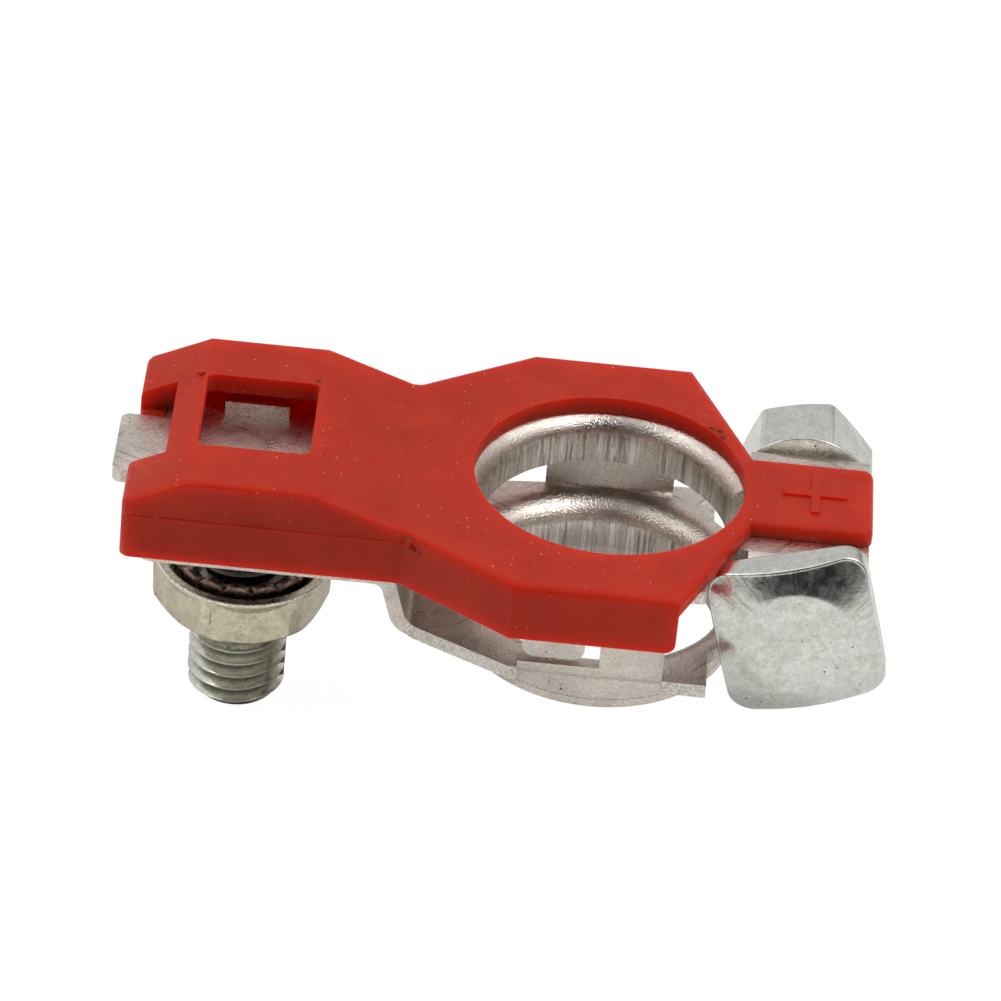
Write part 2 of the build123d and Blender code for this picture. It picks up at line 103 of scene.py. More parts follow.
class ClampFinish(bpy.types.PropertyGroup):
    """Colours and edge breaks of the stamped, moulded and plated surfaces."""

    cover_red: tint("Cover red", "Moulded cover's base colour", (0.46, 0.020, 0.0045))
    cover_edge: length("Cover edge", "Rounding of the cover's sharp edges", 0.16 * MM)
    tin: tint("Tin", "Tin plating on the stamped plates", (0.78, 0.715, 0.645))
    plate_edge: length("Plate edge", "Rounding of the sheared sheet edges", 0.14 * MM)
    stud_zinc: tint("Stud zinc", "Zinc on the stud", (0.66, 0.66, 0.59))
    nut_zinc: tint("Nut zinc", "Olive zinc on the stud nut", (0.77, 0.72, 0.55))
    nut_edge: length("Nut edge", "Rounding of the nuts' edges", 0.12 * MM)
    # Dark steel whose red-brown tint is a painted reflection of the red cover and whose darkness is partly
    # painted shade
    washer_steel: tint("Washer steel", "Dark spring steel", (0.20, 0.14, 0.12))
    bolt_zinc: tint("Bolt zinc", "Pale zinc on the pinch bolt and its nut", (0.80, 0.805, 0.77))


class ClampThreads(bpy.types.PropertyGroup):
    """Sizes of the cable stud's and pinch bolt's threads and head."""

    stud_r: length("Stud radius", "Outer radius of the stud's thread", 4.0 * MM)
    stud_pitch: length("Stud pitch", "Pitch of the stud's thread", 1.25 * MM)
    stud_bevel: length("Stud end bevel", "Bevel at the stud's free end", 0.9 * MM)
    stud_head_t: length("Stud head", "Thickness of the stud's flat head", 2.5 * MM)
    bolt_r: length("Bolt radius", "Outer radius of the pinch bolt's thread", 3.0 * MM)
    bolt_pitch: length("Bolt pitch", "Pitch of the pinch bolt's thread", 1.0 * MM)
    bolt_bevel: length("Bolt end bevel", "Bevel at the pinch bolt's free end", 0.7 * MM)
    head_w: length("Head width", "Across the square head's flats", 13.0 * MM)
    head_t: length("Head thickness", "Square head's thickness", 3.5 * MM)
    head_corner: length("Head corner", "Radius of the square head's corners", 1.9 * MM)
    head_flat: length("Head flat", "Radius of the flat middle of the head", 4.5 * MM)
    head_round: length("Head round", "Rounding from the head's face into its sides", 0.2 * MM)
    head_slope: bpy.props.FloatProperty(
        name="Head slope", description="Fall of the head's face outside its middle", default=0.45, min=0.0
    )
    head_drop: length("Head drop", "How far the head reaches below a square", 0.40 * MM)
    head_short: length("Head short", "How far the head falls short on its right", 0.25 * MM)
    head_turn: bpy.props.FloatProperty(
        name="Head turn", description="Turn of the square head about its axis", default=math.radians(16.0),
        subtype="ANGLE",
    )


class ClampStage(bpy.types.PropertyGroup):
    """Camera and light of the studio."""

    azimuth: bpy.props.FloatProperty(
        name="Azimuth", description="Camera's turn round the post axis", default=math.radians(-1.23),
        subtype="ANGLE",
    )
    elevation: bpy.props.FloatProperty(
        name="Elevation", description="Camera's height above the horizon", default=math.radians(34.62),
        subtype="ANGLE",
    )
    roll: bpy.props.FloatProperty(
        name="Roll", description="Camera's turn about its own line of sight", default=math.radians(6.40),
        subtype="ANGLE",
    )
    distance: length("Distance", "From the middle of the cover's top to the camera", 498.7 * MM)
    lens: bpy.props.FloatProperty(
        name="Lens", description="Focal length on a 36 mm sensor, in millimetres", default=224.2, min=1.0
    )
    centre_right: bpy.props.FloatProperty(
        name="Centre right", description="Picture's centre, right of the post axis", default=-8.79 * MM,
        unit="LENGTH",
    )
    centre_up: bpy.props.FloatProperty(
        name="Centre up", description="Picture's centre, above the post axis", default=-2.06 * MM,
        unit="LENGTH",
    )
    side: bpy.props.FloatProperty(
        name="Side light", description="Power of the two side lights, on average", default=0.8, min=0
    )
    room: bpy.props.FloatProperty(
        name="Room light", description="Strength of the light tent", default=1.0, min=0
    )


def put_mesh(name, points, faces, body, material, smooth_angle=40.0):
    """An object at the origin from points and faces, smooth-shaded up to smooth_angle, riding on a body."""
    mesh = bpy.data.meshes.new(name)
    mesh.from_pydata(points.tolist(), [], faces)
    mesh.validate()
    mesh.polygons.foreach_set("use_smooth", np.ones(len(mesh.polygons), bool))
    mesh.set_sharp_from_angle(angle=math.radians(smooth_angle))
    mesh.materials.append(material)
    piece = bpy.data.objects.new(name, mesh)
    bpy.context.scene.collection.objects.link(piece)
    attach(piece, body)
    return piece


def ring_faces(rings, around, first=0):
    """Quads between neighbouring rings of `around` points, and a fan on a pole before and after them."""
    row, col = np.meshgrid(np.arange(rings - 1), np.arange(around), indexing="ij")
    nxt = (col + 1) % around
    here = row * around
    above = (row + 1) * around
    quads = np.stack([here + col, here + nxt, above + nxt, above + col], -1)
    quads = (quads.reshape(-1, 4) + first).tolist()
    low_pole = first + rings * around
    edge = np.arange(around)
    turn = (edge + 1) % around
    top = (rings - 1) * around
    low_fan = np.stack([np.full(around, low_pole), first + turn, first + edge], -1).tolist()
    top_fan = np.stack([np.full(around, low_pole + 1), first + top + edge, first + top + turn], -1).tolist()
    return quads + low_fan + top_fan


def with_poles(rings):
    """Ring points in order, followed by the middle of the first ring and the middle of the last one."""
    return np.vstack([rings.reshape(-1, 3), rings[0].mean(0), rings[-1].mean(0)])


def joined(parts):
    """Points and faces of several sets of rings as one mesh."""
    points = []
    faces = []
    first = 0
    for rings in parts:
        made = with_poles(rings)
        faces += ring_faces(rings.shape[0], rings.shape[1], first)
        points.append(made)
        first += len(made)
    return np.vstack(points), faces


def thread_profile(per_turn, crest=1 / 10, root=1 / 6):
    """Places over one pitch of a metric thread, and the cut there, from 0 at the crest to 1 at the root.

    crest and root are the shares of the pitch that are flat, with straight flanks between them."""
    share = np.arange(per_turn) / per_turn
    away = np.abs(((share + 0.5) % 1.0) - 0.5)
    return share, np.clip((away - crest / 2) / (1 / 2 - crest / 2 - root / 2), 0.0, 1.0)


def threaded_rod(radius, pitch, bevel, low, high, around=96, per_turn=24, worn=0.009, inset=0.004):
    """Rings of a right-hand thread along +Z from low to high, with a bevel at the low end.

    Row k of turn t climbs along the helix z = low + pitch * (t + share_k + angle / full turn), held
    between low and high. The radius is the crest radius less the thread's depth times the profile's
    cut, never more than the bevel's cone. The crest lies a share inset inside the radius, and waves of
    a share worn of the pitch wear it."""
    depth = THREAD_DEPTH * pitch
    share, cut = thread_profile(per_turn)
    turns = int(math.ceil((high - low) / pitch)) + 2
    climb = np.concatenate([share + t for t in range(-1, turns)])
    cuts = np.tile(cut, turns + 1)
    angle = np.arange(around) / around * 2 * math.pi
    z = low + pitch * (climb[:, None] + angle[None, :] / (2 * math.pi))
    keep = (z.max(1) > low) & (z.min(1) < high)
    z = z[keep]
    cuts = cuts[keep]
    along = z / pitch
    wave = np.sin(7 * angle)[None, :] * np.sin(along * 2.3)
    wave = wave + 0.6 * np.sin(17 * angle[None, :] + along * 5.1)
    crest = radius * (1 - inset) - worn * pitch * (1 + wave) * (1 - cuts[:, None])
    r = crest - depth * cuts[:, None]
    z = np.clip(z, low, high)
    r = np.minimum(r, radius - bevel + (z - low))
    return np.stack([r * np.cos(angle), r * np.sin(angle), z], -1)


def square_outline(half, corner, angle):
    """Distance from the middle of a rounded square to its edge at each angle.

    On the flats it is half / cos(angle from the flat's middle). At the corners it is the far crossing
    of the ray with the corner's circle."""
    fold = np.abs(((angle + math.pi / 4) % (math.pi / 2)) - math.pi / 4)
    flat = half / np.cos(fold)
    centre = (half - corner) * math.sqrt(2)
    off = math.pi / 4 - fold
    root = np.sqrt(np.maximum(corner**2 - (centre * np.sin(off)) ** 2, 0.0))
    round_corner = centre * np.cos(off) + root
    on_corner = np.tan(fold) * half > half - corner
    return np.where(on_corner, round_corner, flat)


def square_head(size, around=192):
    """Rings of the square head along +Z, from the middle of its face at z = 0 to its back at z = head_t.

    The face is flat out to head_flat and then falls away on a soft cone. A quarter circle of radius
    head_round takes it into the sides, and a small one takes the sides into the back."""
    angle = np.arange(around) / around * 2 * math.pi
    edge = square_outline(size.head_w / 2, size.head_corner, angle)
    small = 0.25 * MM
    ease = 7.0
    face = edge - size.head_round
    rings = []

    def drop(radius):
        """Depth of the face below its middle: a cone of slope head_slope, eased in about head_flat."""
        past = (radius - size.head_flat) / MM
        return size.head_slope * MM * np.log1p(np.exp(ease * past)) / ease

    for share in np.linspace(0.03, 1.0, 60):
        radius = face * share
        rings.append((radius, drop(radius)))
    start = drop(face)
    for bend in np.linspace(0.12, 1.0, 9) * math.pi / 2:
        rings.append((face + size.head_round * np.sin(bend), start + size.head_round * (1 - np.cos(bend))))
    side = start + size.head_round
    for share in np.linspace(0.25, 1.0, 4):
        rings.append((edge, side + (size.head_t - small - side) * share))
    for bend in np.linspace(0.25, 1.0, 4) * math.pi / 2:
        level = size.head_t - small + small * np.sin(bend)
        rings.append((edge - small * (1 - np.cos(bend)), level + 0 * edge))
    for share in (0.8, 0.6, 0.4):
        rings.append(((edge - small) * share, size.head_t + 0 * edge))
    r = np.array([a for a, _ in rings])
    z = np.array([b for _, b in rings])
    return np.stack([r * np.cos(angle), r * np.sin(angle), z], -1)


def lump(place, reach, turn, around=18, rows=9):
    """Rings of a small uneven bead about a place: an ellipsoid that swells in three waves round it."""
    angle = np.arange(around) / around * 2 * math.pi
    lift = np.linspace(-1.4, 1.4, rows)[:, None]
    swell = 1 + 0.2 * np.sin(3 * angle + turn) * np.cos(2 * lift)
    x = reach[0] * swell * np.cos(lift) * np.cos(angle)
    y = reach[1] * swell * np.cos(lift) * np.sin(angle)
    z = reach[2] * np.sin(lift) + 0 * angle
    return np.stack([x, y, z], -1) + np.array(place)


def rounded_block(half_x, half_y, low, high, corner, around=64, soft=0.15 * MM):
    """Rings of a rectangular block along +Z with rounded corners and eased rims."""
    angle = np.arange(around) / around * 2 * math.pi
    edge = square_outline(1.0, corner / half_x, angle)
    rows = [(-soft, low), (0.0, low + soft), (0.0, high - soft), (-soft, high)]
    x = np.array([(half_x + inset) * edge * np.cos(angle) for inset, _ in rows])
    y = np.array([(half_y + inset) * edge * np.sin(angle) for inset, _ in rows])
    z = np.array([np.full(around, level) for _, level in rows])
    return np.stack([x, y, z], -1)


def collar_lip(inner, outer, top, bottom, gap, around=160, proud=0.015 * MM):
    """Profiles of the collar's trimmed lip, on an arc about the post that leaves a gap towards +X.

    Each profile is a band between the two radii, a hair proud of the collar and rounded at the bottom."""
    start = math.asin(gap / inner)
    angle = np.linspace(start, 2 * math.pi - start, around)[:, None]
    soft = (outer - inner) * 0.2
    low, high = inner - proud, outer + proud
    r = np.array([high, high, high - soft, low + soft, low, low])
    z = np.array([top, bottom + soft, bottom, bottom, bottom + soft, top])
    return np.stack([r * np.cos(angle), r * np.sin(angle), z + 0 * angle], -1)


class Shader:
    """A node tree with short calls to add and join its nodes."""

    def __init__(self, tree):
        self.tree = tree

    def add(self, kind, **settings):
        """A new node of a kind, with its settings."""
        made = self.tree.nodes.new(kind)
        for key, value in settings.items():
            setattr(made, key, value)
        return made

    def feed(self, socket, value):
        """Sets a socket to a number or colour, or joins it to an output socket."""
        if isinstance(value, bpy.types.NodeSocket):
            self.tree.links.new(value, socket)
        elif isinstance(value, (tuple, list)) and len(value) == 3 and socket.type == "RGBA":
            socket.default_value = (*value, 1.0)
        else:
            socket.default_value = value

    def math(self, operation, a, b=0.0, clamp=False):
        """The result of a math operation on two values."""
        made = self.add("ShaderNodeMath", operation=operation, use_clamp=clamp)
        self.feed(made.inputs[0], a)
        self.feed(made.inputs[1], b)
        return made.outputs[0]

    def chain(self, operation, values):
        """One math operation carried through a row of values."""
        result = values[0]
        for value in values[1:]:
            result = self.math(operation, result, value)
        return result

    def times(self, *values):
        """The product of values."""
        return self.chain("MULTIPLY", values)

    def plus(self, *values):
        """The sum of values."""
        return self.chain("ADD", values)

    def most(self, *values):
        """The greatest of values."""
        return self.chain("MAXIMUM", values)

    def ramp(self, value, low, high, to_low=0.0, to_high=1.0):
        """value carried smoothly from low..high to to_low..to_high."""
        made = self.add("ShaderNodeMapRange", interpolation_type="SMOOTHSTEP")
        for socket, given in zip(made.inputs[:5], (value, low, high, to_low, to_high)):
            self.feed(socket, given)
        return made.outputs[0]

    def blend(self, share, a, b):
        """Colour a where share is 0 and b where it is 1."""
        made = self.add("ShaderNodeMix", data_type="RGBA")
        self.feed(made.inputs["Factor"], share)
        self.feed(made.inputs[6], a)
        self.feed(made.inputs[7], b)
        return made.outputs[2]

    def noise(self, vector, scale, detail=3.0, rough=0.55, distortion=0.0):
        """A noise value about 0.5 at a scale per metre."""
        made = self.add("ShaderNodeTexNoise")
        self.feed(made.inputs["Vector"], vector)
        self.feed(made.inputs["Scale"], scale)
        self.feed(made.inputs["Detail"], detail)
        self.feed(made.inputs["Roughness"], rough)
        self.feed(made.inputs["Distortion"], distortion)
        return made.outputs[0]

    def split(self, vector):
        """The X, Y and Z of a vector."""
        made = self.add("ShaderNodeSeparateXYZ")
        self.feed(made.inputs[0], vector)
        return made.outputs

    def facing(self):
        """The surface's normal in the object's own axes."""
        return self.add("ShaderNodeTexCoord").outputs["Normal"]

    def mapped(self, vector, scale=(1, 1, 1), place=(0, 0, 0), turn=(0, 0, 0)):
        """Coordinates scaled, turned and moved."""
        made = self.add("ShaderNodeMapping")
        self.feed(made.inputs["Vector"], vector)
        made.inputs["Scale"].default_value = scale
        made.inputs["Location"].default_value = place
        made.inputs["Rotation"].default_value = turn
        return made.outputs[0]

    def group(self, tree, **values):
        """A node group placed with its own values."""
        made = self.add("ShaderNodeGroup", node_tree=tree)
        for key, value in values.items():
            self.feed(made.inputs[key], value)
        return made

    def shared(self, kind, vector, **values):
        """The first output of a shared node group placed on coordinates."""
        return self.group(groups()[kind], Vector=vector, **values).outputs[0]


def new_group(name, inputs, outputs):
    """An empty node group with named sockets, and its shader, input and output nodes."""
    tree = bpy.data.node_groups.new(name, "ShaderNodeTree")
    for label, kind in inputs:
        tree.interface.new_socket(label, in_out="INPUT", socket_type=kind)
    for label, kind in outputs:
        tree.interface.new_socket(label, in_out="OUTPUT", socket_type=kind)
    shader = Shader(tree)
    return tree, shader, shader.add("NodeGroupInput"), shader.add("NodeGroupOutput")


NUMBER = "NodeSocketFloat"
VECTOR = "NodeSocketVector"


def speck_group():
    """Scattered specks: cells of which a share hold a dot of random size."""
    tree, s, given, out = new_group(
        "scattered specks",
        [("Vector", VECTOR), ("Scale", NUMBER), ("Share", NUMBER), ("Size", NUMBER)],
        [("Mask", NUMBER)],
    )
    cells = s.add("ShaderNodeTexVoronoi", feature="F1")
    wobble = s.noise(given.outputs["Vector"], 3800.0, 2.0)
    s.feed(cells.inputs["Vector"], given.outputs["Vector"])
    s.feed(cells.inputs["Scale"], given.outputs["Scale"])
    parts = s.add("ShaderNodeSeparateColor")
    s.feed(parts.inputs[0], cells.outputs["Color"])
    chosen = s.math("LESS_THAN", parts.outputs[0], given.outputs["Share"])
    swell = s.plus(s.times(parts.outputs[1], 0.8), 0.2)
    reach = s.times(given.outputs["Size"], swell, s.plus(wobble, 0.5))
    dot = s.ramp(cells.outputs["Distance"], s.times(reach, 0.6), reach, 1.0, 0.0)
    s.feed(out.inputs["Mask"], s.times(dot, chosen))
    return tree


def drift_group():
    """Slow cloudy change over the surface, from Low to High."""
    tree, s, given, out = new_group(
        "cloudy drift",
        [("Vector", VECTOR), ("Scale", NUMBER), ("Low", NUMBER), ("High", NUMBER)],
        [("Value", NUMBER)],
    )
    cloud = s.noise(given.outputs["Vector"], given.outputs["Scale"], 4.0, 0.6, 0.4)
    s.feed(out.inputs["Value"], s.ramp(cloud, 0.32, 0.68, given.outputs["Low"], given.outputs["High"]))
    return tree


def scratch_group():
    """Fine lines along the stretched direction of the coordinates, broken by a cloud."""
    tree, s, given, out = new_group(
        "fine scratches",
        [("Vector", VECTOR), ("Scale", NUMBER), ("Amount", NUMBER)],
        [("Mask", NUMBER), ("Height", NUMBER)],
    )
    lines = s.noise(given.outputs["Vector"], given.outputs["Scale"], 3.0, 0.7)
    patch = s.noise(given.outputs["Vector"], s.times(given.outputs["Scale"], 0.09), 2.0)
    thin = s.ramp(lines, 0.50, 0.58)
    here = s.ramp(patch, 0.32, 0.55)
    mask = s.math("MULTIPLY", s.times(thin, here), given.outputs["Amount"], clamp=True)
    s.feed(out.inputs["Mask"], mask)
    s.feed(out.inputs["Height"], lines)
    return tree


GROUPS = {}


def groups():
    """The shared node groups, built once."""
    if not GROUPS:
        GROUPS.update(specks=speck_group(), drift=drift_group(), scratches=scratch_group())
    return GROUPS


def new_material(name, **sockets):
    """A material with a Principled shader whose plain sockets are set, and its object coordinates."""
    material = bpy.data.materials.new(name)
    material.use_nodes = True
    s = Shader(material.node_tree)
    surface = material.node_tree.nodes["Principled BSDF"]
    for key, value in sockets.items():
        s.feed(surface.inputs[key.replace("_", " ")], value)
    where = s.add("ShaderNodeTexCoord").outputs["Object"]
    return material, s, surface, where


def bump(s, surface, height, distance, strength=1.0):
    """Joins a height to the surface's normal through a bump of that distance."""
    made = s.add("ShaderNodeBump")
    made.inputs["Strength"].default_value = strength
    made.inputs["Distance"].default_value = distance
    s.feed(made.inputs["Height"], height)
    s.feed(surface.inputs["Normal"], made.outputs[0])


# Colours of dirt, wear and stains, and of painted shade in the bores, the thread roots, the upper shank and
# the head's foot
DUST = (0.92, 0.66, 0.60)
RED_PIT = (0.10, 0.01, 0.01)
# Painted shade on the inner walls of the bores
BORE_PAINTED_SHADE = (0.40, 0.32, 0.27)
TIN_GRIT = (0.30, 0.26, 0.215)
TIN_SPECK = (0.07, 0.055, 0.045)
SHEARED_EDGE = (0.90, 0.88, 0.81)
DRAWN_LINE = (0.13, 0.10, 0.08)
RUBBED_LINE = (0.95, 0.92, 0.87)
HAIR_SCRATCH = (0.14, 0.11, 0.09)
ZINC_SPECK = (0.07, 0.06, 0.045)
STUD_STAIN = (0.40, 0.39, 0.31)
OLIVE_STAIN = (0.36, 0.30, 0.17)
HEAD_STAIN = (0.46, 0.42, 0.29)
PALE_STAIN = (0.50, 0.46, 0.32)
# Painted shade in the roots of the stud's thread
THREAD_ROOT_PAINTED_SHADE = (0.16, 0.16, 0.13)
# Painted shade on the stud's upper shank
SHANK_PAINTED_SHADE = (0.03, 0.025, 0.02)
RIM_GRAIN = (0.92, 0.91, 0.86)
BRUSH_LINE = (0.2, 0.19, 0.17)
# Painted shade at the foot of the bolt head's face
HEAD_FOOT_PAINTED_SHADE = (0.26, 0.26, 0.25)


def shade(colour, share):
    """A colour made darker or lighter by a share."""
    return tuple(min(1.0, c * share) for c in colour)


def red_plastic(colour):
    """Satin red moulding: faint flow marks, a fine skin, dust and lint. Light seeps into its thin walls."""
    material, s, surface, where = new_material(
        "red moulded plastic", IOR=1.47, Specular_IOR_Level=0.20, Subsurface_Weight=1.0,
        Subsurface_Radius=(1.0, 0.035, 0.018), Subsurface_Scale=4.8 * MM,
    )
    drift = s.shared("drift", where, Scale=130.0, Low=0.0, High=1.0)
    pale = (min(1.0, colour[0] * 1.05), colour[1] * 1.3, colour[2] * 1.4)
    body = s.blend(drift, shade(colour, 0.92), pale)
    dust = s.shared("specks", where, Scale=900.0, Share=0.22, Size=0.10)
    fine = s.shared("specks", where, Scale=2200.0, Share=0.30, Size=0.19)
    along = s.mapped(s.mapped(where, turn=(0.2, 0.1, 0.7)), (0.25, 1.0, 1.0))
    lint = s.shared("specks", along, Scale=800.0, Share=0.12, Size=0.07)
    settled = s.shared("drift", s.mapped(where, place=(0.03, 0.02, 0.01)), Scale=170.0, Low=0.15, High=1.0)
    settled = s.times(settled, s.ramp(s.split(s.facing())[2], 0.1, 0.8, 0.3, 1.0))
    marks = s.times(s.most(fine, dust, lint), settled)
    body = s.blend(s.times(marks, 0.85), body, DUST)
    apart = s.mapped(where, place=(0.013, 0.007, 0.0))
    pits = s.shared("specks", apart, Scale=420.0, Share=0.08, Size=0.05)
    body = s.blend(s.times(pits, 0.8), body, RED_PIT)
    s.feed(surface.inputs["Base Color"], body)
    s.feed(surface.inputs["Metallic"], s.times(marks, 0.8))
    gloss = s.shared("drift", where, Scale=900.0, Low=0.34, High=0.50)
    s.feed(surface.inputs["Roughness"], s.plus(gloss, s.times(marks, 0.3)))
    skin = s.noise(where, 2600.0, 3.0)
    wave = s.noise(where, 260.0, 2.0)
    bump(s, surface, s.plus(s.times(skin, 0.45), wave, s.times(marks, 0.6)), 0.025 * MM, 0.6)
    return material


def tinned_sheet(colour):
    """Tin over drawn steel: a grainy skin, painted shade on the walls that face the post's axis, drawing
    lines down the bores, sheared edges, scratches, specks.

    A face counts as upright where its normal lies flat, as inner where it is upright and looks at the
    post's axis, as bore where it is upright inside the post's radius, and as sheared where it is upright
    within the thickness of one of the flat sheets."""
    material, s, surface, where = new_material("tinned sheet", Metallic=1.0)
    x, y, z = s.split(where)
    face_x, face_y, face_z = s.split(s.facing())
    level = s.math("ABSOLUTE", face_z)
    upright = s.ramp(level, 0.15, 0.45, 1.0, 0.0)
    radius = s.math("SQRT", s.plus(s.times(x, x), s.times(y, y)))
    outward = s.plus(s.times(x, face_x), s.times(y, face_y))
    inner = s.times(upright, s.ramp(s.math("DIVIDE", outward, radius), -0.6, -0.1, 1.0, 0.0))
    bore = s.times(upright, s.ramp(radius, POST_R * 1.01, POST_R * 1.03, 1.0, 0.0))
    in_sheet = 0.0
    for top in (EAR_TOP, UPPER_TOP, LOWER_TAIL_TOP, LOWER_RING_TOP):
        off = s.math("ABSOLUTE", s.math("SUBTRACT", z, top - SHEET / 2))
        in_sheet = s.most(in_sheet, s.ramp(off, SHEET * 0.48, SHEET * 0.55, 1.0, 0.0))
    sheared = s.times(s.math("SUBTRACT", upright, bore, clamp=True), in_sheet)
    cloud = s.shared("drift", where, Scale=240.0, Low=0.0, High=1.0)
    body = s.blend(cloud, shade(colour, 0.82), shade(colour, 1.10))
    # Painted shade: the walls that face the post's axis are darkened
    body = s.blend(s.times(inner, 0.35), body, BORE_PAINTED_SHADE)
    grit = s.ramp(s.noise(where, 5200.0, 2.0, 0.7), 0.36, 0.66)
    body = s.blend(s.times(grit, 0.35), body, TIN_GRIT)
    body = s.blend(s.times(sheared, s.math("SUBTRACT", 0.85, grit, clamp=True)), body, SHEARED_EDGE)
    down = s.mapped(where, (1.0, 1.0, 0.035))
    lines = s.group(groups()["scratches"], Vector=down, Scale=3600.0, Amount=1.0)
    body = s.blend(s.times(lines.outputs["Mask"], s.times(bore, 0.6)), body, DRAWN_LINE)
    down = s.mapped(where, (1.0, 1.0, 0.05), place=(0.02, 0.01, 0.0))
    rubbed = s.shared("scratches", down, Scale=2900.0, Amount=1.0)
    body = s.blend(s.times(rubbed, s.times(bore, 0.55)), body, RUBBED_LINE)
    hairs = 0.0
    for turn in (0.45, 2.2):
        along = s.mapped(s.mapped(where, turn=(0.0, 0.0, turn)), (0.06, 1.0, 1.0))
        line = s.math("ABSOLUTE", s.math("SUBTRACT", s.noise(along, 620.0, 2.0), 0.5))
        broken = s.ramp(s.noise(s.mapped(where, place=(turn, 0.0, 0.0)), 230.0, 2.0), 0.50, 0.58)
        hairs = s.most(hairs, s.times(s.ramp(line, 0.006, 0.022, 1.0, 0.0), broken))
    hairs = s.times(hairs, s.ramp(level, 0.90, 0.98))
    body = s.blend(s.times(hairs, 0.45), body, HAIR_SCRATCH)
    dark = s.shared("specks", where, Scale=1800.0, Share=0.22, Size=0.19)
    apart = s.mapped(where, place=(0.004, 0.009, 0.002))
    big = s.shared("specks", apart, Scale=620.0, Share=0.14, Size=0.10)
    marks = s.most(s.times(dark, 0.8), big)
    body = s.blend(s.times(marks, 0.85), body, TIN_SPECK)
    s.feed(surface.inputs["Base Color"], body)
    rough = s.shared("drift", where, Scale=700.0, Low=0.26, High=0.36)
    rough = s.plus(rough, s.times(sheared, 0.15), s.times(marks, 0.3))
    s.feed(surface.inputs["Roughness"], rough)
    grain = s.noise(where, 5600.0, 2.0, 0.6)
    swell = s.noise(where, 420.0, 2.0)
    peel = s.math("SUBTRACT", 1.5, s.times(bore, 1.1))
    height = s.plus(s.times(grain, peel), s.times(swell, 0.35), s.times(lines.outputs["Height"], bore))
    height = s.math("SUBTRACT", height, s.times(s.most(marks, hairs), 0.08))
    bump(s, surface, height, 0.045 * MM, 0.85)
    return material


def plated_zinc(name, colour, stain, stain_share, rough, speck_share=0.40, foot=None, tone=None):
    """Zinc plating: mottled spangle, stains in clouds, dark specks in pits and rolling marks.

    rough holds the least and greatest roughness. Where foot gives two heights, the specks thin out from
    the lower one up to the upper one. tone may change the colour by place."""
    material, s, surface, where = new_material(name, Metallic=1.0)
    mottle = s.shared("drift", where, Scale=620.0, Low=0.0, High=1.0)
    body = s.blend(mottle, shade(colour, 0.90), shade(colour, 1.06))
    grit = s.ramp(s.noise(where, 4600.0, 2.0, 0.7), 0.40, 0.68)
    body = s.blend(s.times(grit, 0.30), body, shade(colour, 0.45))
    cloud = s.shared("drift", s.mapped(where, place=(0.02, 0.01, 0.03)), Scale=210.0, Low=0.0, High=1.0)
    blot = s.times(s.ramp(s.noise(where, 1500.0, 4.0, 0.7), 0.45, 0.62), cloud)
    body = s.blend(s.times(blot, stain_share), body, stain)
    pits = s.shared("specks", where, Scale=1700.0, Share=speck_share, Size=0.21)
    gathered = s.noise(s.mapped(where, place=(0.05, 0.03, 0.01)), 300.0, 3.0, 0.6)
    here = s.ramp(gathered, 0.47, 0.56, 0.05, 1.0)
    if foot:
        here = s.times(here, s.ramp(s.split(where)[2], foot[0], foot[1], 1.0, 0.3))
    pits = s.times(pits, here)
    grime = s.ramp(s.noise(where, 1900.0, 3.0, 0.7), 0.50, 0.64)
    body = s.blend(s.times(here, grime, stain_share), body, stain)
    if tone:
        body = tone(s, where, body)
    body = s.blend(s.times(pits, 0.85), body, ZINC_SPECK)
    s.feed(surface.inputs["Base Color"], body)
    dull = s.shared("drift", where, Scale=820.0, Low=rough[0], High=rough[1])
    s.feed(surface.inputs["Roughness"], s.plus(dull, s.times(pits, 0.3)))
    grain = s.noise(where, 2400.0, 4.0, 0.6)
    swell = s.noise(where, 380.0, 2.0)
    height = s.plus(s.times(grain, 0.6), s.times(swell, 0.8))
    bump(s, surface, s.math("SUBTRACT", height, s.times(pits, 0.8)), 0.03 * MM, 0.6)
    return material


def away_from(s, across, other, axis):
    """Distance of two coordinates from an axis, with the two offsets."""
    one = s.math("SUBTRACT", across, axis[0])
    two = s.math("SUBTRACT", other, axis[1])
    away = s.math("SQRT", s.plus(s.times(one, one), s.times(two, two)))
    return away, one, two


def thread_tone(axis, crest, depth, shank_shade_heights):
    """Tone of an upright thread: painted shade in the roots, which leaves the crests brighter, and painted
    shade on the shank that sets in over a height.
    """

    def tone(s, where, body):
        x, y, z = s.split(where)
        away, _, _ = away_from(s, x, y, axis)
        # Painted shade: darker towards the thread's roots
        root = s.ramp(away, crest - depth, crest - depth * 0.3, 0.62, 0.0)
        body = s.blend(root, body, THREAD_ROOT_PAINTED_SHADE)
        # Painted shade: the stud darkens from the lower height up to the upper one
        return s.blend(s.ramp(z, shank_shade_heights[0], shank_shade_heights[1], 0.0, 0.72), body, SHANK_PAINTED_SHADE)

    return tone


def rim_tone(low, high):
    """Tone of a nut whose rim is granular and whitish between two heights."""

    def tone(s, where, body):
        grain = s.ramp(s.noise(where, 4200.0, 2.0, 0.7), 0.42, 0.60)
        rim = s.ramp(s.split(where)[2], low, high)
        return s.blend(s.times(rim, grain), body, RIM_GRAIN)

    return tone


